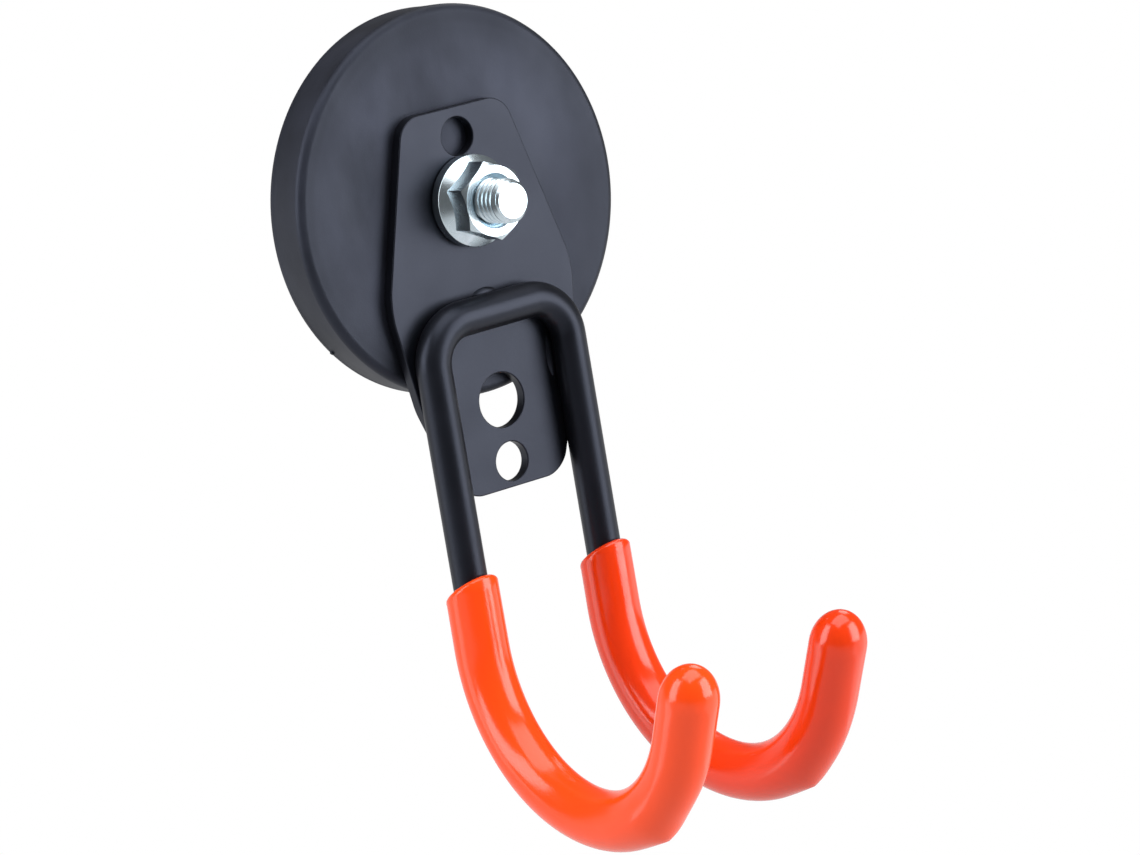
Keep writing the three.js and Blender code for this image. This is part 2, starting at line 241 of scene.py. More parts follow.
def joined(name, pieces):
    """One piece made of several."""
    make_active(pieces[0])
    for piece in pieces:
        piece.select_set(True)
    bpy.ops.object.join()
    pieces[0].name = name
    return pieces[0]


def smooth(piece, degrees=32, even=False):
    """Shades a piece smooth, with sharp edges kept past an angle and wide faces even where asked."""
    make_active(piece)
    bpy.ops.object.shade_smooth_by_angle(angle=math.radians(degrees))
    if even:
        apply_modifier(piece, "WEIGHTED_NORMAL", keep_sharp=True)


def steps_to(first, last, count):
    """Even steps from a first value, which is left out, to a last one."""
    return [first + (last - first) * i / count for i in range(1, count + 1)]


def rounding(radius, depth, size, start, end, steps):
    """Points of a rounded corner in a turned profile, about its centre's radius and depth."""
    swings = [start, *steps_to(start, end, steps)]
    return [(radius + size * math.cos(swing), depth + size * math.sin(swing)) for swing in swings]


def turned(name, profile, sides, across=0, up=0):
    """Round piece on an axis along Y, extruded and scaled from each radius and depth to the next."""
    radius, depth = profile[0]
    piece = fresh(
        name,
        bpy.ops.mesh.primitive_circle_add,
        vertices=sides,
        radius=radius,
        fill_type="NGON",
        location=(across, -depth, up),
        rotation=(quarter, 0, 0),
    )
    edit(piece)
    for next_radius, next_depth in profile[1:]:
        extrude((0, depth - next_depth, 0))
        if abs(next_radius - radius) > tiny:
            scale_about(next_radius / radius, (across, -next_depth, up))
        radius, depth = next_radius, next_depth
    close_mesh()
    return piece


def dress(piece, body, finish_name, node):
    """Gives a piece its body, slot and finish, and hides the solid that it stands for."""
    piece.data.materials.clear()
    piece.data.materials.append(finish(finish_name))
    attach(piece, body)
    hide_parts(node)


# Rod's route


def rod_depth(sizes):
    """Depth of the rod's centreline."""
    return -plate_low.y + sizes.rod_radius - sizes.rod_sink


def bend_length(sizes):
    """Length of a hook's bend along the rod's centreline."""
    return sizes.hook_turn * sizes.hook_bend


def hook_start(sizes):
    """Top of the right hook's bend, the bend's centre and its axis."""
    start = Vector((sizes.leg_spacing / 2, -rod_depth(sizes), -sizes.hook_drop))
    toward = Vector((math.sin(sizes.toe_out), -math.cos(sizes.toe_out), 0))
    axis = Vector((0, 0, -1)).cross(toward)
    return start, start + toward * sizes.hook_bend, axis


def along_hook(sizes, distance):
    """Place, heading and outside of the right hook at a distance along it from the top of its bend."""
    start, centre, axis = hook_start(sizes)
    bent = min(max(distance, 0), bend_length(sizes))
    swing = Quaternion(axis, bent / sizes.hook_bend)
    heading = swing @ Vector((0, 0, -1))
    place = centre + swing @ (start - centre) + heading * (distance - bent)
    return place, heading, swing @ (start - centre).normalized()


def rod_half(name, sizes, radius, end_gap):
    """Right half of the rod as its bender makes it, open in the middle of the crossbar."""
    leg = sizes.leg_spacing / 2
    depth = rod_depth(sizes)
    tip_bevel = 1 * mm
    piece = fresh(
        name,
        bpy.ops.mesh.primitive_circle_add,
        vertices=64,
        radius=radius,
        fill_type="NOTHING",
        location=(0, -depth, -sizes.bar_drop),
        rotation=(0, quarter, 0),
    )
    edit(piece)
    extrude((leg - sizes.bar_bend, 0, 0))
    corner = (leg - sizes.bar_bend, -depth, -sizes.bar_drop - sizes.bar_bend)
    spin(quarter, corner, (0, 1, 0), steps=20)
    extrude((0, 0, sizes.bar_drop + sizes.bar_bend - sizes.hook_drop))
    centre, axis = hook_start(sizes)[1:]
    spin(sizes.hook_turn, centre, axis, steps=48)
    heading = along_hook(sizes, bend_length(sizes))[1]
    extrude(heading * (sizes.hook_tip + end_gap))
    bpy.ops.mesh.edge_face_add()
    bpy.ops.mesh.bevel(offset=tip_bevel, segments=2, affect="EDGES")
    close_mesh()
    return piece


def whole_rod(name, sizes, radius, end_gap=0):
    """The rod, or with a greater radius the room that it takes up, longer at each end by a gap."""
    piece = rod_half(name, sizes, radius, end_gap)
    apply_modifier(piece, "MIRROR", use_axis=(True, False, False), merge_threshold=touch)
    edit(piece)
    close_mesh()
    return piece


# Shader nodes


def connect(node, **sockets):
    """Links inputs to outputs or sets them to values. A space in an input's name is written _."""
    for name, value in sockets.items():
        socket = node.inputs[name.replace("_", " ")]
        if isinstance(value, bpy.types.NodeSocket):
            node.id_data.links.new(value, socket)
        else:
            socket.default_value = value


def add_node(owner, kind, **sockets):
    """New node of a material or a world, with inputs linked or set."""
    node = owner.node_tree.nodes.new(kind)
    connect(node, **sockets)
    return node


def cloud_group():
    """Soft clouds, used for bloom, haze and fine grain: a mask from 0 to 1."""
    group = bpy.data.node_groups.new("soft_clouds", "ShaderNodeTree")
    group.interface.new_socket("Vector", in_out="INPUT", socket_type="NodeSocketVector")
    for socket in ("Scale", "Detail", "Low", "High"):
        group.interface.new_socket(socket, in_out="INPUT", socket_type="NodeSocketFloat")
    group.interface.new_socket("Mask", in_out="OUTPUT", socket_type="NodeSocketFloat")
    given = group.nodes.new("NodeGroupInput").outputs
    noise = group.nodes.new("ShaderNodeTexNoise")
    spread = group.nodes.new("ShaderNodeMapRange")
    connect(noise, Vector=given["Vector"], Scale=given["Scale"], Detail=given["Detail"])
    connect(spread, Value=noise.outputs["Fac"], From_Min=given["Low"], From_Max=given["High"])
    connect(group.nodes.new("NodeGroupOutput"), Mask=spread.outputs["Result"])


def add_clouds(material, place, scale, detail, low, high, stretch=(1, 1, 1)):
    """Mask of soft clouds, finer with a greater scale and drawn out where the stretch is under 1."""
    mapping = add_node(material, "ShaderNodeMapping", Vector=place, Scale=stretch)
    clouds = add_node(material, "ShaderNodeGroup")
    clouds.node_tree = bpy.data.node_groups["soft_clouds"]
    connect(clouds, Vector=mapping.outputs["Vector"], Scale=scale, Detail=detail, Low=low, High=high)
    return clouds.outputs["Mask"]


def add_blend(material, mask, first, second):
    """Colour that goes from the first, which may be an output, to the second with a mask."""
    mix = add_node(material, "ShaderNodeMix")
    mix.data_type = "RGBA"
    if not isinstance(first, bpy.types.NodeSocket):
        first = (*first, 1)
    connect(mix, Factor=mask, A=first, B=(*second, 1))
    return mix.outputs["Result"]


def add_range(owner, value, low, high, start=0, end=1, course="LINEAR"):
    """Value that goes from low to high while another goes from start to end."""
    spread = add_node(owner, "ShaderNodeMapRange", Value=value)
    spread.interpolation_type = course
    connect(spread, From_Min=start, From_Max=end, To_Min=low, To_Max=high)
    return spread.outputs["Result"]


def add_bump(material, height, depth, before=None):
    """Normal that is bumped by a height, over a bump before it."""
    bump = add_node(material, "ShaderNodeBump", Height=height, Distance=depth, Strength=1.0)
    if before:
        connect(bump, Normal=before)
    return bump.outputs["Normal"]


def add_ramp(material, value, stops):
    """Value that goes smoothly from stop to stop, each given as a place and its value."""
    ramp = add_node(material, "ShaderNodeValToRGB", Fac=value)
    ramp.color_ramp.interpolation = "EASE"
    while len(ramp.color_ramp.elements) < len(stops):
        ramp.color_ramp.elements.new(0.5)
    for element, (position, level) in zip(ramp.color_ramp.elements, stops):
        element.position = position
        element.color = (level, level, level, 1)
    return ramp.outputs["Color"]


def add_vector_math(owner, operation, place, other=(0, 0, 0)):
    """Outputs of a vector operation on a place."""
    node = add_node(owner, "ShaderNodeVectorMath", Vector=place)
    node.operation = operation
    node.inputs[1].default_value = other
    return node.outputs


def add_spread(material, place, reach):
    """Distance from the magnet's axis, as a share of a reach."""
    flat = add_vector_math(material, "MULTIPLY", place, (1 / reach, 0, 1 / reach))
    return add_vector_math(material, "LENGTH", flat["Vector"])["Value"]


def add_along(owner, place, toward):
    """How far a place lies in a direction from the origin."""
    return add_vector_math(owner, "DOT_PRODUCT", place, toward)["Value"]


def add_product(material, first, second):
    """Product of two values."""
    times = add_node(material, "ShaderNodeMath", Value=first)
    times.operation = "MULTIPLY"
    material.node_tree.links.new(second, times.inputs[1])
    return times.outputs["Value"]


def new_material(name):
    """Material with its Principled shader and its object coordinates."""
    material = bpy.data.materials.new(name)
    material.use_nodes = True
    shader = material.node_tree.nodes["Principled BSDF"]
    return material, shader, add_node(material, "ShaderNodeTexCoord").outputs["Object"]


# Finishes


def shade(tint, share):
    """Darker or lighter copy of a colour."""
    return [channel * share for channel in tint]


def rubber_finish(colours):
    """Moulded rubber: matt and finely grained, with a cloudy grey bloom and painted shade.

    The bloom lies in a ring, whose levels are given by the share of the cover's radius. Its thin bands
    and its thinning towards the lower right are painted shade, which darkens the face round the plate,
    just inside and along the rounded front edge, and at lower right.
    """
    material, shader, place = new_material("moulded_rubber")
    # Painted shade in the ring: the bloom is thinner round the plate in the middle and nearly gone just
    # inside and along the rounded front edge, so the face is darker there.
    bloom_and_shade_levels = (
        (0.5, 0.35),
        (0.66, 0.65),
        (0.78, 0.5),
        (0.9, 0.15),
        (0.94, 0),
        (0.975, 0.05),
        (0.99, 0.3),
    )
    ring = add_ramp(material, add_spread(material, place, cover_high.x), bloom_and_shade_levels)
    # Painted shade: the bloom thins towards the lower right, so the face is darker there.
    upper_left = add_along(material, place, (-0.7, 0, 0.7))
    painted_shade_lower_right = add_range(material, upper_left, 0.3, 1, start=-30 * mm, end=30 * mm)
    patches = add_clouds(material, place, scale=44, detail=7, low=0.31, high=0.62, stretch=(1, 1, 0.6))
    # The bloom mask is real cloudy bloom times the painted shade of the ring and of the lower right.
    bloom = add_product(material, patches, add_product(material, ring, painted_shade_lower_right))
    haze = add_clouds(material, place, scale=60, detail=6, low=0.32, high=0.68, stretch=(1, 1, 0.55))
    grain = add_clouds(material, place, scale=2600, detail=2, low=0.3, high=0.7)
    wave = add_clouds(material, place, scale=110, detail=3, low=0.3, high=0.7)
    normal = add_bump(material, wave, 0.03 * mm)
    normal = add_bump(material, grain, 0.006 * mm, normal)
    connect(
        shader,
        Specular_IOR_Level=0.4,
        Specular_Tint=blue_black_sheen,
        Base_Color=add_blend(material, bloom, colours.rubber, colours.rubber_bloom),
        Roughness=add_range(material, haze, 0.57, 0.43),
        Normal=normal,
    )
    return material


def coat_finish(colours):
    """Black powder coat: satin, with a fine orange peel and a faint haze."""
    material, shader, place = new_material("black_powder_coat")
    haze = add_clouds(material, place, scale=70, detail=4, low=0.35, high=0.75)
    peel = add_clouds(material, place, scale=900, detail=2, low=0.25, high=0.75)
    connect(
        shader,
        Specular_IOR_Level=0.37,
        Specular_Tint=blue_black_sheen,
        Base_Color=add_blend(material, haze, colours.coat, shade(colours.coat, 1.6)),
        Roughness=add_range(material, haze, 0.35, 0.42),
        Normal=add_bump(material, peel, 0.007 * mm),
    )
    return material


def zinc_finish(colours):
    """Bright zinc plate: cold and shiny, with fine scratches and dull patches."""
    material, shader, place = new_material("bright_zinc_plate")
    dull = add_clouds(material, place, scale=150, detail=3, low=0.3, high=0.7)
    scratch = add_clouds(material, place, scale=1200, detail=2, low=0.35, high=0.65, stretch=(1, 0.08, 1))
    connect(
        shader,
        Metallic=1.0,
        Base_Color=add_blend(material, dull, colours.zinc, shade(colours.zinc, 0.92)),
        Roughness=add_range(material, dull, 0.20, 0.30),
        Normal=add_bump(material, scratch, 0.002 * mm),
    )
    return material


def vinyl_finish(colours):
    """Dipped vinyl: glossy, uneven, deeper on the right sleeve, with a painted reflection: pale where it
    is mirrored from afar.
    """
    material, shader, place = new_material("dipped_vinyl")
    right = add_range(material, add_along(material, place, (1, 0, 0)), 0, 1, start=-5 * mm, end=5 * mm)
    depth = add_clouds(material, place, scale=65, detail=3, low=0.3, high=0.7)
    sag = add_clouds(material, place, scale=95, detail=1, low=0.2, high=0.8)
    pore = add_clouds(material, place, scale=1400, detail=2, low=0.3, high=0.7)
    normal = add_bump(material, sag, 0.12 * mm)
    normal = add_bump(material, pore, 0.004 * mm, normal)
    # Painted reflection: gloss rays that meet the vinyl from more than 80 mm away, as from the nut and
    # the stud, see it painted pale instead of orange.
    path = add_node(material, "ShaderNodeLightPath").outputs
    far = add_range(material, path["Ray Length"], 0, 1, start=80 * mm, end=90 * mm)
    mirrored = add_product(material, far, path["Is Glossy Ray"])
    own = add_blend(material, right, colours.vinyl, colours.deep_vinyl)
    connect(
        shader,
        Base_Color=add_blend(material, mirrored, own, painted_pale_reflection),
        Roughness=add_range(material, depth, 0.15, 0.21),
        Normal=normal,
    )
    return material


def nickel_finish(colours):
    """Nickel plate on the magnets: warm and shiny, with small marks."""
    material, shader, place = new_material("nickel_plate")
    marks = add_clouds(material, place, scale=400, detail=4, low=0.45, high=0.7)
    connect(
        shader,
        Metallic=1.0,
        Base_Color=add_blend(material, marks, colours.nickel, shade(colours.nickel, 0.8)),
        Roughness=add_range(material, marks, 0.16, 0.34),
    )
    return material


def steel_finish(colours):
    """Cut steel of the yoke: rolled one way, with dull patches."""
    material, shader, place = new_material("cut_steel")
    roll = add_clouds(material, place, scale=900, detail=3, low=0.3, high=0.7, stretch=(1, 1, 0.05))
    connect(
        shader,
        Metallic=1.0,
        Base_Color=add_blend(material, roll, colours.steel, shade(colours.steel, 0.75)),
        Roughness=add_range(material, roll, 0.35, 0.55),
        Normal=add_bump(material, roll, 0.01 * mm),
    )
    return material


def finish(name):
    """A finish by its name, made at its first use."""
    makers = {
        "moulded_rubber": rubber_finish,
        "black_powder_coat": coat_finish,
        "bright_zinc_plate": zinc_finish,
        "dipped_vinyl": vinyl_finish,
        "nickel_plate": nickel_finish,
        "cut_steel": steel_finish,
    }
    if "soft_clouds" not in bpy.data.node_groups:
        cloud_group()
    if name not in bpy.data.materials:
        makers[name](bpy.context.scene.holder_colours)
    return bpy.data.materials[name]


# Pieces


def magnet_rooms(sizes):
    """Room for the yoke, the magnets and the stud inside the cover."""
    gap = 0.3 * mm
    yoke = yoke_high.x + gap
    head = stud_high.x + gap
    hole = sizes.stud_radius + gap
    rooms = [
        turned("yoke_room", [(yoke, -yoke_high.y - gap), (yoke, -yoke_low.y + gap)], sides=96),
        turned("head_room", [(head, -stud_high.y - gap), (head, -yoke_low.y)], sides=48),
        turned("stud_room", [(hole, -yoke_high.y), (hole, sizes.cover_thickness + overrun)], sides=48),
    ]
    for name in magnet_names:
        low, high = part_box(name)
        middle = (low + high) / 2
        radius = (high.x - low.x) / 2 + gap
        room = [(radius, -high.y - gap), (radius, -yoke_high.y)]
        rooms.append(turned("magnet_room", room, sides=32, across=middle.x, up=middle.z))
    return joined("cover_rooms", rooms)


def vent_nub(sizes):
    """Stub that the mould's vent leaves on the rim, at the seam on the lower left."""
    swing = math.radians(219)
    nub_length = 2 * mm
    proud = 0.4 * mm
    taper = 0.4
    out = Vector((math.cos(swing), 0, math.sin(swing)))
    tip = out * (sizes.cover_radius + proud) + Vector((0, -sizes.seam_depth, 0))
    nub = fresh(
        "vent_nub",
        bpy.ops.mesh.primitive_cylinder_add,
        vertices=20,
        radius=1.1 * mm,
        depth=nub_length,
        location=tip - out * nub_length / 2,
        rotation=(0, quarter - swing, 0),
    )
    edit(nub)
    pick(nub, "FACE", lambda face: face.normal.dot(out) > 0.9)
    scale_about(taper, tip)
    close_mesh()
    return nub


class HOLDER_OT_rubber_cover(bpy.types.Operator):
    """Moulds the rubber cover round the magnets"""

    bl_idname = "holder.rubber_cover"
    bl_label = "Rubber cover"

    def execute(self, context):
        sizes = context.scene.holder_sizes
        radius = sizes.cover_radius
        front = sizes.cover_thickness
        seam = sizes.seam_depth
        half_seam = 0.25 * mm
        back_round = sizes.cover_back_round
        front_round = sizes.cover_front_round
        profile = rounding(radius - back_round, back_round, back_round, -quarter, 0, 5)
        profile += [
            (radius, seam - half_seam),
            (radius + sizes.seam_height, seam),
            (radius, seam + half_seam),
        ]
        radius += sizes.cover_flare
        profile += rounding(radius - front_round, front - front_round, front_round, 0, quarter, 12)
        cover = turned("moulded_cover", profile, sides=180)
        combine(cover, vent_nub(sizes), "UNION")
        combine(cover, magnet_rooms(sizes), "DIFFERENCE", overlaps=True)
        smooth(cover, even=True)
        dress(cover, "magnet", "moulded_rubber", "rubber_cover")
        return {"FINISHED"}


class HOLDER_OT_inner_pieces(bpy.types.Operator):
    """Finishes the yoke and the magnets inside the cover"""

    bl_idname = "holder.inner_pieces"
    bl_label = "Yoke and magnets"

    def execute(self, context):
        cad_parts["yoke_disc"].material_slots[0].material = finish("cut_steel")
        for name in magnet_names:
            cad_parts[name].material_slots[0].material = finish("nickel_plate")
        return {"FINISHED"}


def thread_profile(sizes):
    """One pitch of thread as a line of edges, with its crest at the origin's depth."""
    pitch = sizes.thread_pitch
    crest = sizes.stud_radius
    root = crest - sizes.thread_depth
    crest_flat = pitch / 11
    root_flat = pitch / 8
    points = [
        (root, -pitch / 2 + root_flat / 2),
        (crest, -crest_flat),
        (crest, crest_flat),
        (root, pitch / 2 - root_flat / 2),
        (root, pitch / 2 + root_flat / 2),
    ]
    mesh = bpy.data.meshes.new("thread")
    places = [(radius, -depth, 0) for radius, depth in points]
    mesh.from_pydata(places, [(i, i + 1) for i in range(len(points) - 1)], [])
    thread = bpy.data.objects.new("thread", mesh)
    bpy.context.scene.collection.objects.link(thread)
    return thread


def threaded_bar(sizes, end):
    """Bar with a right-hand thread wound from the origin on past an end."""
    spare_turns = 3
    bar = thread_profile(sizes)
    apply_modifier(
        bar,
        "SCREW",
        axis="Y",
        angle=-math.tau,
        steps=64,
        render_steps=64,
        screw_offset=-sizes.thread_pitch,
        iterations=math.ceil(end / sizes.thread_pitch) + spare_turns,
        use_merge_vertices=True,
        merge_threshold=touch,
    )
    edit(bar)
    bpy.ops.mesh.fill_holes(sides=0)
    close_mesh()
    return bar


class HOLDER_OT_threaded_stud(bpy.types.Operator):
    """Cuts the stud with its right-hand thread and its head"""

    bl_idname = "holder.threaded_stud"
    bl_label = "Threaded stud"

    def execute(self, context):
        sizes = context.scene.holder_sizes
        end = -stud_low.y
        thread_start = sizes.cover_thickness
        stud = threaded_bar(sizes, end)
        wide = sizes.stud_radius + overrun
        narrow = sizes.stud_radius - sizes.stud_chamfer
        hidden = thread_start - overrun / 2
        trim = [(wide, hidden), (wide, end - sizes.stud_chamfer - overrun), (narrow, end)]
        combine(stud, turned("stud_trim", trim, sides=64), "INTERSECT")
        shank = sizes.stud_radius + touch
        head_top = -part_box("magnet_01")[0].y
        core = [(stud_high.x, -stud_high.y), (stud_high.x, head_top)]
        core += [(shank, head_top), (shank, thread_start)]
        combine(stud, turned("stud_shank", core, sides=64), "UNION")
        stud.name = "machined_stud"
        smooth(stud, even=True)
        dress(stud, "magnet", "bright_zinc_plate", "threaded_stud")
        return {"FINISHED"}


def hole_cutter(radius, up):
    """Cutter for a punched hole, flared so that both of its edges come out rounded."""
    lip = 0.3 * mm
    back = -plate_high.y
    front = -plate_low.y
    profile = [(radius + lip, back - overrun)]
    profile += rounding(radius + lip, back + lip, lip, -quarter, -math.pi, 4)
    profile += rounding(radius + lip, front - lip, lip, math.pi, quarter, 4)
    profile.append((radius + lip, front + overrun))
    return turned("hole_cutter", profile, sides=64, up=up)


def plate_corners(sizes):
    """Corners of the plate's right half, from the foot up: across, up and rounding."""
    return [
        (sizes.plate_foot_half, plate_low.z, 7 * mm),
        (sizes.plate_shoulder_half, -sizes.plate_shoulder_drop, 15 * mm),
        (sizes.plate_wide_half, -sizes.plate_wide_drop, 20 * mm),
        (sizes.plate_top_half, plate_high.z, 6 * mm),
    ]


def is_depthwise_at(edge, across, up):
    """Tells whether an edge runs along Y at a place across and up, on the left or the right."""
    first, second = (vertex.co for vertex in edge.verts)
    run = math.hypot(first.x - second.x, first.z - second.z)
    return run < tiny and math.hypot(abs(first.x) - across, first.z - up) < tiny


def plate_blank(sizes):
    """Plate cut to its outline, with its corners and edges rounded."""
    corners = plate_corners(sizes)
    plate = fresh(
        "punched_plate",
        bpy.ops.mesh.primitive_cube_add,
        size=1,
        location=(plate_low + plate_high) / 2,
        scale=plate_high - plate_low + Vector((2 * overrun, 0, 0)),
    )
    edit(plate)
    for (x, z, _), (next_x, next_z, _) in zip(corners, corners[1:]):
        for side in (-1, 1):
            out = Vector((side * (next_z - z), 0, x - next_x)).normalized()
            bpy.ops.mesh.select_all(action="SELECT")
            bpy.ops.mesh.bisect(plane_co=(side * x, 0, z), plane_no=out, use_fill=True, clear_outer=True)
    foot, *_, top = corners
    line = [Vector(place[:2]) for place in ((-foot[0], foot[1]), *corners, (-top[0], top[1]))]
    for before, corner, after, (x, z, radius) in zip(line, line[1:], line[2:], corners):
        half = (before - corner).angle(after - corner) / 2
        pick(plate, "EDGE", lambda edge: is_depthwise_at(edge, x, z))
        bpy.ops.mesh.bevel(offset=radius / math.tan(half), segments=12, affect="EDGES")
    for depth, size in ((plate_low.y, sizes.plate_edge), (plate_high.y, sizes.plate_edge / 2)):
        pick(plate, "EDGE", lambda edge: all(abs(v.co.y - depth) < tiny for v in edge.verts))
        bpy.ops.mesh.bevel(offset=size, segments=4, affect="EDGES")
    close_mesh()
    return plate


class HOLDER_OT_bracket_plate(bpy.types.Operator):
    """Punches the bracket plate with its holes and its seat for the rod"""

    bl_idname = "holder.bracket_plate"
    bl_label = "Bracket plate"

    def execute(self, context):
        sizes = context.scene.holder_sizes
        stud_hole = (5.4 * mm, 0)
        top_hole = (4.4 * mm, 14.8 * mm)
        tongue_hole = (6.3 * mm, -46.3 * mm)
        foot_hole = (4.5 * mm, -60.6 * mm)
        plate = plate_blank(sizes)
        for radius, up in (stud_hole, top_hole, tongue_hole, foot_hole):
            combine(plate, hole_cutter(radius, up), "DIFFERENCE")
        combine(plate, whole_rod("rod_room", sizes, sizes.rod_radius + touch), "DIFFERENCE")
        smooth(plate, even=True)
        dress(plate, "bracket", "black_powder_coat", "bracket_plate")
        return {"FINISHED"}


class HOLDER_OT_hook_rod(bpy.types.Operator):
    """Bends the rod: a crossbar, two legs and two hooks"""

    bl_idname = "holder.hook_rod"
    bl_label = "Hook rod"

    def execute(self, context):
        sizes = context.scene.holder_sizes
        rod = whole_rod("bent_rod", sizes, sizes.rod_radius)
        smooth(rod)
        dress(rod, "bracket", "black_powder_coat", "hook_rod")
        return {"FINISHED"}


class Dip(NamedTuple):
    """What one sleeve has of its own.

    The radii are those at the dip line and at the tip. The sag is how much thicker the sleeve is at
    its drip, and it fades over sag_after towards the tip. Lift raises the dip line, and reach
    lengthens the tip.
    """

    top_radius: float
    tip_radius: float
    sag: float
    sag_after: float
    drip_offset: float
    lift: float
    reach: float

    def top(self, sizes):
        """Distance of the dip line along the hook."""
        return -sizes.sleeve_lead - self.lift

    def dome(self, sizes):
        """Distance along the hook at which the closing dome starts."""
        dome_before_tip = 6 * mm
        return bend_length(sizes) + sizes.hook_tip - dome_before_tip + self.reach

    def drip(self, sizes):
        """Distance of the drip along the hook, at what was lowest while the vinyl dried."""
        return sizes.hook_bend * (quarter + sizes.dip_tilt) + self.drip_offset

    def section(self, sizes, distance):
        """Radius at a distance along the hook, and how far the section is shifted outwards."""
        sag_before = 20 * mm
        gather = 0.1 * mm
        top = self.top(sizes)
        share = min(max((distance - top) / (self.dome(sizes) - top), 0), 1)
        past = distance - self.drip(sizes)
        spread = self.sag_after if past > 0 else sag_before
        swell = self.sag * math.exp(-((past / spread) ** 2)) / 2
        radius = self.top_radius + (self.tip_radius - self.top_radius) * share + swell
        return radius, swell - gather


def dip_skin(name, sizes, dip):
    """Closed skin along the right hook, from above the dip line to a long dome past the rod's tip."""
    spare = 8 * mm
    slimness = 1.28
    bend = bend_length(sizes)
    centre, axis = hook_start(sizes)[1:]
    dome = dip.dome(sizes)
    last = dip.top(sizes) - spare
    radius, shift = dip.section(sizes, last)[0], 0
    skin = fresh(
        name,
        bpy.ops.mesh.primitive_circle_add,
        vertices=64,
        radius=radius,
        fill_type="NGON",
        location=along_hook(sizes, last)[0],
    )
    edit(skin)
    for distance in [*steps_to(last, 0, 8), *steps_to(0, bend, 76), *steps_to(bend, dome, 4)]:
        place, heading, outside = along_hook(sizes, distance)
        if 0 < distance <= bend + tiny:
            spin((distance - last) / sizes.hook_bend, centre, axis, steps=1)
        else:
            extrude(heading * (distance - last))
        next_radius, next_shift = dip.section(sizes, distance)
        scale_about(next_radius / radius, place + outside * shift)
        bpy.ops.transform.translate(value=outside * (next_shift - shift))
        radius, shift, last = next_radius, next_shift, distance
    for swing in steps_to(0, quarter, 14)[:-1]:
        next_radius = dip.tip_radius * math.cos(swing)
        distance = dome + slimness * dip.tip_radius * math.sin(swing)
        extrude(heading * (distance - last))
        scale_about(next_radius / radius, along_hook(sizes, distance)[0])
        radius, last = next_radius, distance
    close_mesh()
    return skin


def cut_lip(sizes, dip):
    """Cuts the skin that is open for editing along its sloping dip line, and rounds the cut's edge."""
    lip = 1.2 * mm
    slope = Vector((0, math.sin(sizes.dip_tilt), math.cos(sizes.dip_tilt)))
    dip_line = along_hook(sizes, dip.top(sizes))[0] - slope * lip
    bpy.ops.mesh.bisect(plane_co=dip_line, plane_no=slope, use_fill=True, clear_outer=True)
    swings = [0, *steps_to(0, quarter, 6)]
    for swing, next_swing in zip(swings, swings[1:]):
        bpy.ops.mesh.inset(
            thickness=lip * (math.cos(swing) - math.cos(next_swing)),
            depth=lip * (math.sin(next_swing) - math.sin(swing)),
        )


def pull_drip(skin, sizes, dip):
    """Pulls the skin that is open for editing out to a dried drip."""
    grip = 0.8 * mm
    drip_reach = 9 * mm
    place, _, outside = along_hook(sizes, dip.drip(sizes))
    drip = place + outside * sum(dip.section(sizes, dip.drip(sizes)))
    pick(skin, "VERT", lambda vertex: (vertex.co - drip).length < grip)
    bpy.ops.transform.translate(
        value=outside * sizes.drip_height,
        use_proportional_edit=True,
        proportional_size=drip_reach,
        proportional_edit_falloff="SHARP",
    )


def dipped_sleeve(name, node, sizes, dip, mirrored):
    """Sleeve dipped onto the right hook, or mirrored to the left one."""
    sleeve = dip_skin(name, sizes, dip)
    edit(sleeve)
    cut_lip(sizes, dip)
    pull_drip(sleeve, sizes, dip)
    if mirrored:
        bpy.ops.mesh.select_all(action="SELECT")
        bpy.ops.transform.resize(value=(-1, 1, 1), center_override=(0, 0, 0))
    close_mesh()
    combine(sleeve, whole_rod("rod_room", sizes, sizes.rod_radius + touch, end_gap=touch), "DIFFERENCE")
    smooth(sleeve, degrees=50)
    dress(sleeve, "bracket", "dipped_vinyl", node)


class HOLDER_OT_sleeves(bpy.types.Operator):
    """Dips the two sleeves onto the hooks"""

    bl_idname = "holder.sleeves"
    bl_label = "Sleeves"

    def execute(self, context):
        sizes = context.scene.holder_sizes
        left = Dip(
            top_radius=6.2 * mm,
            tip_radius=6.85 * mm,
            sag=0.9 * mm,
            sag_after=6 * mm,
            drip_offset=-1.4 * mm,
            lift=0.7 * mm,
            reach=0,
        )
        right = Dip(
            top_radius=6.05 * mm,
            tip_radius=6.5 * mm,
            sag=1.0 * mm,
            sag_after=12 * mm,
            drip_offset=0.2 * mm,
            lift=-0.6 * mm,
            reach=1.6 * mm,
        )
        dipped_sleeve("left_dip", "left_sleeve", sizes, left, mirrored=True)
        dipped_sleeve("right_dip", "right_sleeve", sizes, right, mirrored=False)
        return {"FINISHED"}


def weld_drops(sizes, middle, along, span):
    """Row of weld drops, smaller towards its ends and pressed flatter along the row and in depth."""
    count = 15
    end_taper = 0.45
    row_share, depth_share = 0.6, 0.75
    pressed = [row_share if value else 1 for value in along]
    pressed[1] = depth_share
    shares = [2 * i / (count - 1) - 1 for i in range(count)]
    return [
        fresh(
            "drop",
            bpy.ops.mesh.primitive_uv_sphere_add,
            segments=24,
            ring_count=16,
            radius=sizes.bead_radius * (1 - end_taper * share * share),
            scale=pressed,
            location=middle + along * (share * span / 2),
        )
        for share in shares
    ]


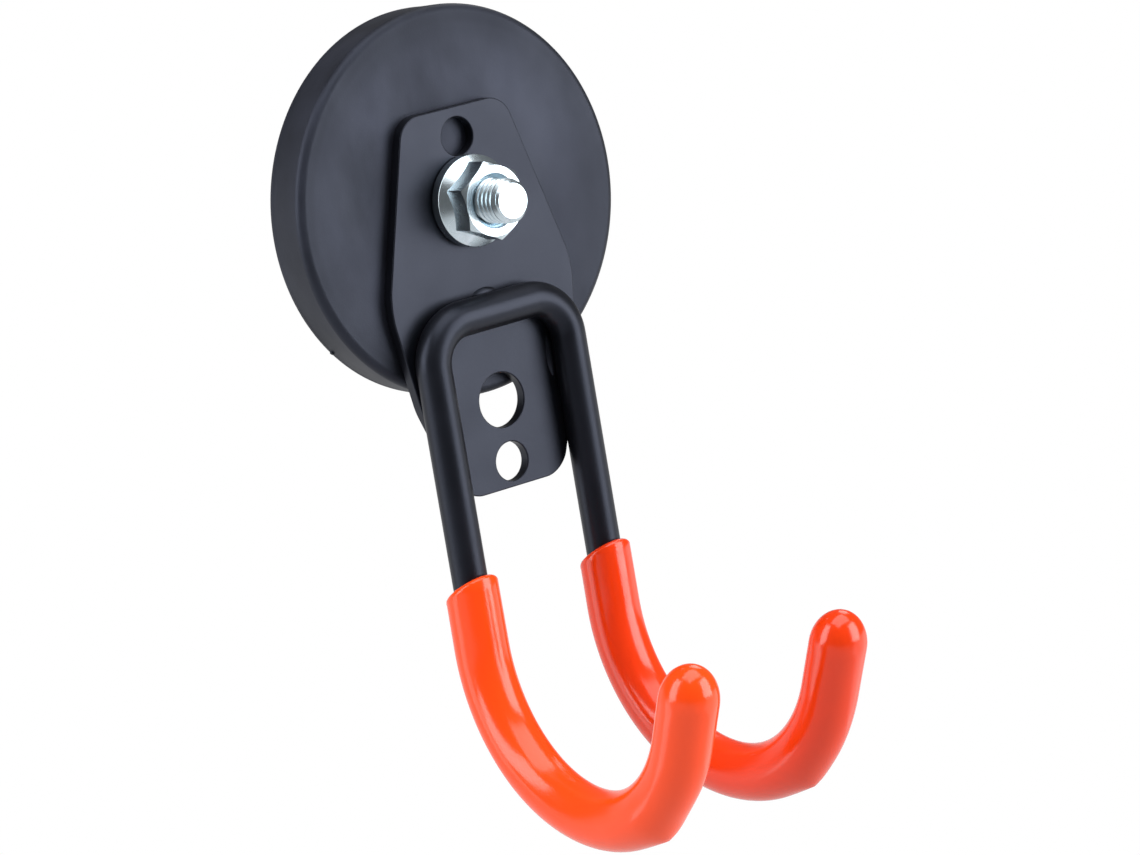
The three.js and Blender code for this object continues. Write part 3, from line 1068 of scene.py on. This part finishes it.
def weld_bead(sizes, name, node, rod_place, toward, along, span):
    """Bead of weld on the plate beside a straight stretch of rod, its ripples softened by the coat."""
    beside = 3.65 * mm
    sunk = 0.4 * mm
    middle = rod_place + toward * beside
    middle.y = plate_low.y + sunk
    bead = joined(name, weld_drops(sizes, middle, along, span))
    apply_modifier(bead, "REMESH", mode="VOXEL", voxel_size=0.2 * mm)
    apply_modifier(bead, "SMOOTH", factor=0.5, iterations=10)
    plate_room = fresh(
        "plate_room",
        bpy.ops.mesh.primitive_cube_add,
        size=2 * span,
        location=(middle.x, plate_low.y - touch + span, middle.z),
    )
    combine(bead, plate_room, "DIFFERENCE")
    rod_room = fresh(
        "rod_room",
        bpy.ops.mesh.primitive_cylinder_add,
        vertices=64,
        radius=sizes.rod_radius + touch,
        depth=2 * span,
        location=rod_place,
        rotation=along.to_track_quat("Z", "Y").to_euler(),
    )
    combine(bead, rod_room, "DIFFERENCE")
    smooth(bead)
    dress(bead, "bracket", "black_powder_coat", node)


class HOLDER_OT_weld_beads(bpy.types.Operator):
    """Lays the weld beads over the crossbar and inside the legs"""

    bl_idname = "holder.weld_beads"
    bl_label = "Weld beads"

    def execute(self, context):
        sizes = context.scene.holder_sizes
        depth = rod_depth(sizes)
        bar_span, leg_span, leg_drop = 6 * mm, 9 * mm, 39.5 * mm
        across, up = Vector((1, 0, 0)), Vector((0, 0, 1))
        bar = Vector((0, -depth, -sizes.bar_drop))
        weld_bead(sizes, "bar_weld", "weld_bead_bar", bar, up, across, bar_span)
        for side, name in ((-1, "left"), (1, "right")):
            leg = Vector((side * sizes.leg_spacing / 2, -depth, -leg_drop))
            weld_bead(sizes, f"{name}_weld", f"weld_bead_{name}", leg, -side * across, up, leg_span)
        return {"FINISHED"}


class HOLDER_OT_flange_nut(bpy.types.Operator):
    """Forges the flange nut"""

    bl_idname = "holder.flange_nut"
    bl_label = "Flange nut"

    def execute(self, context):
        sizes = context.scene.holder_sizes
        back = -nut_high.y
        front = -nut_low.y
        flat = sizes.nut_flats / 2
        rim = sizes.nut_flange_radius
        slope = math.tan(sizes.nut_cone)
        bore = sizes.stud_radius + touch
        corner_round, rim_round, countersink = 0.25 * mm, 0.35 * mm, 1.2 * mm
        nut = fresh(
            "forged_nut",
            bpy.ops.mesh.primitive_cylinder_add,
            vertices=6,
            radius=2 * flat / math.sqrt(3),
            depth=front - back,
            location=(0, -(front + back) / 2, 0),
            rotation=(quarter, -sizes.nut_turn, 0),
        )
        edit(nut)
        pick(nut, "EDGE", lambda edge: abs(edge.verts[0].co.y - edge.verts[1].co.y) > overrun)
        bpy.ops.mesh.bevel(offset=corner_round, segments=3, affect="EDGES")
        close_mesh()
        top = [(rim, back), (rim, front - (rim - flat) * slope), (flat, front)]
        combine(nut, turned("nut_top", top, sides=96), "INTERSECT")
        inner = rim - rim_round
        shoulder = back + sizes.nut_rim
        flange = rounding(inner, back + rim_round, rim_round, -quarter, 0, 3)
        flange += rounding(inner, shoulder - rim_round, rim_round, 0, quarter - sizes.nut_cone, 3)
        flange.append((bore, shoulder + (rim - bore) * slope))
        combine(nut, turned("nut_flange", flange, sides=96), "UNION")
        hole = [(bore, back - overrun), (bore, front - countersink)]
        hole.append((bore + countersink + overrun, front + overrun))
        combine(nut, turned("nut_bore", hole, sides=64), "DIFFERENCE")
        smooth(nut, degrees=20, even=True)
        dress(nut, "nut", "bright_zinc_plate", "flange_nut")
        return {"FINISHED"}


# Stage


def direction(azimuth, elevation):
    """Direction to a place seen from the holder. Azimuth 0 is straight in front, 90 is right."""
    around = math.radians(azimuth)
    above = math.radians(elevation)
    level = math.cos(above)
    return Vector((math.sin(around) * level, -math.cos(around) * level, math.sin(above)))


def softbox(name, azimuth, elevation, distance, width, height, brightness):
    """Rectangular light that faces the holder's middle. Its brightness is that of its lit face."""
    light = bpy.data.lights.new(name, "AREA")
    light.shape = "RECTANGLE"
    light.size = width
    light.size_y = height
    light.energy = brightness * math.pi * width * height
    lamp = bpy.data.objects.new(name, light)
    bpy.context.scene.collection.objects.link(lamp)
    holder_middle = Vector((0, -0.03, -0.05))
    away = direction(azimuth, elevation)
    turn = away.to_track_quat("Z", "Y").to_matrix().to_4x4()
    lamp.matrix_world = Matrix.Translation(holder_middle + away * distance) @ turn
    lamp.visible_camera = False


def light_all(owner, lit_kind, end_kind, coordinates, toward, low, high, start, end):
    """White for the camera, and for all else a pale light that grows from low to high in a direction."""
    owner.use_nodes = True
    owner.node_tree.nodes.clear()
    place = add_node(owner, "ShaderNodeTexCoord").outputs[coordinates]
    reach = add_along(owner, place, toward)
    strength = add_range(owner, reach, low, high, start=start, end=end, course="SMOOTHSTEP")
    pale = add_node(owner, lit_kind, Color=(1, 1, 1, 1), Strength=strength)
    white = add_node(owner, lit_kind, Color=(1, 1, 1, 1))
    seen = add_node(owner, "ShaderNodeLightPath").outputs["Is Camera Ray"]
    mix = add_node(owner, "ShaderNodeMixShader", Fac=seen)
    owner.node_tree.links.new(pale.outputs[0], mix.inputs[1])
    owner.node_tree.links.new(white.outputs[0], mix.inputs[2])
    add_node(owner, end_kind, Surface=mix.outputs["Shader"])


def white_ground():
    """White for the camera, and a pale surface that dims towards the front for all else."""
    material = bpy.data.materials.new("pale_floor")
    light_all(
        material,
        "ShaderNodeEmission",
        "ShaderNodeOutputMaterial",
        coordinates="Object",
        toward=(0, 1, 0),
        low=0.13,
        high=0.8,
        start=-2.4,
        end=-0.8,
    )
    return material


def studio_world():
    """White for the camera, and for all else a dim room with a pale sweep low behind the holder."""
    world = bpy.data.worlds.new("studio")
    light_all(
        world,
        "ShaderNodeBackground",
        "ShaderNodeOutputWorld",
        coordinates="Generated",
        toward=(0, 0.5, -0.87),
        low=0.13,
        high=0.7,
        start=0.17,
        end=0.42,
    )
    bpy.context.scene.world = world


def studio_camera():
    """Camera at the angle, roll and distance of the product picture."""
    azimuth, elevation = -36.9233, 9.7922
    roll = math.radians(-9.5414)
    distance = 1392.43 * mm
    aim_right, aim_up = 32.5428 * mm, -51.8013 * mm
    focal_pixels, picture_width = 6113.985, 1140
    back = direction(azimuth, elevation)
    level = direction(azimuth + 90, 0)
    upright = back.cross(level)
    right = level * math.cos(roll) + upright * math.sin(roll)
    up = upright * math.cos(roll) - level * math.sin(roll)
    data = bpy.data.cameras.new("studio_camera")
    data.sensor_width = 36
    data.lens = focal_pixels / picture_width * data.sensor_width
    data.clip_start, data.clip_end = 0.05, 60
    camera = bpy.data.objects.new("studio_camera", data)
    bpy.context.scene.collection.objects.link(camera)
    turn = Matrix((right, up, back)).transposed().to_4x4()
    camera.matrix_world = Matrix.Translation(right * aim_right + up * aim_up + back * distance) @ turn
    bpy.context.scene.camera = camera


# Softboxes by azimuth and elevation in degrees, distance, width, height and brightness
softboxes = {
    "front_softbox": (34, 9, 1.3, 0.92, 1.15, 5.6),
    "left_softbox": (-104, 25, 1.2, 0.64, 1.25, 4.8),
    "low_left_softbox": (-123, -14, 1.0, 0.4, 0.5, 1.3),
    "top_softbox": (5, 71, 1.15, 1.4, 1.05, 3.0),
    "right_softbox": (118, 38, 1.3, 0.45, 0.5, 2.8),
    "low_softbox": (60, -30, 0.9, 1.2, 0.7, 0.6),
}


class HOLDER_OT_stage(bpy.types.Operator):
    """Sets the floor, the lights and the camera"""

    bl_idname = "holder.stage"
    bl_label = "Studio"

    def execute(self, context):
        floor_width, floor_height = 14, -0.75
        place = (0, 0, floor_height)
        floor = fresh("floor", bpy.ops.mesh.primitive_plane_add, size=floor_width, location=place)
        floor.data.materials.append(white_ground())
        for name, values in softboxes.items():
            softbox(name, *values)
        studio_world()
        studio_camera()
        context.scene.view_settings.view_transform = "Standard"
        return {"FINISHED"}


class HOLDER_PT_sidebar(bpy.types.Panel):
    """Lists the holder's operators, sizes and colours"""

    bl_idname = "HOLDER_PT_sidebar"
    bl_label = "Headphone holder"
    bl_space_type = "VIEW_3D"
    bl_region_type = "UI"
    bl_category = "Holder"

    def draw(self, context):
        for operator in operators:
            self.layout.operator(operator.bl_idname)
        for values in (context.scene.holder_sizes, context.scene.holder_colours):
            for name in values.bl_rna.properties.keys():
                if name not in ("rna_type", "name"):
                    self.layout.prop(values, name)


operators = (
    HOLDER_OT_rubber_cover,
    HOLDER_OT_inner_pieces,
    HOLDER_OT_threaded_stud,
    HOLDER_OT_bracket_plate,
    HOLDER_OT_hook_rod,
    HOLDER_OT_sleeves,
    HOLDER_OT_weld_beads,
    HOLDER_OT_flange_nut,
    HOLDER_OT_stage,
)
classes = (HolderSizes, HolderColours, *operators, HOLDER_PT_sidebar)


def register():
    """Registers the classes and the values that the scene holds."""
    for item in classes:
        bpy.utils.register_class(item)
    bpy.types.Scene.holder_sizes = PointerProperty(type=HolderSizes)
    bpy.types.Scene.holder_colours = PointerProperty(type=HolderColours)


def unregister():
    """Takes back what register did."""
    del bpy.types.Scene.holder_colours
    del bpy.types.Scene.holder_sizes
    for item in reversed(classes):
        bpy.utils.unregister_class(item)


def main():
    """Makes every piece and the stage."""
    register()
    bpy.ops.holder.rubber_cover()
    bpy.ops.holder.inner_pieces()
    bpy.ops.holder.threaded_stud()
    bpy.ops.holder.bracket_plate()
    bpy.ops.holder.hook_rod()
    bpy.ops.holder.sleeves()
    bpy.ops.holder.weld_beads()
    bpy.ops.holder.flange_nut()
    bpy.ops.holder.stage()


if __name__ == "__main__":
    main()
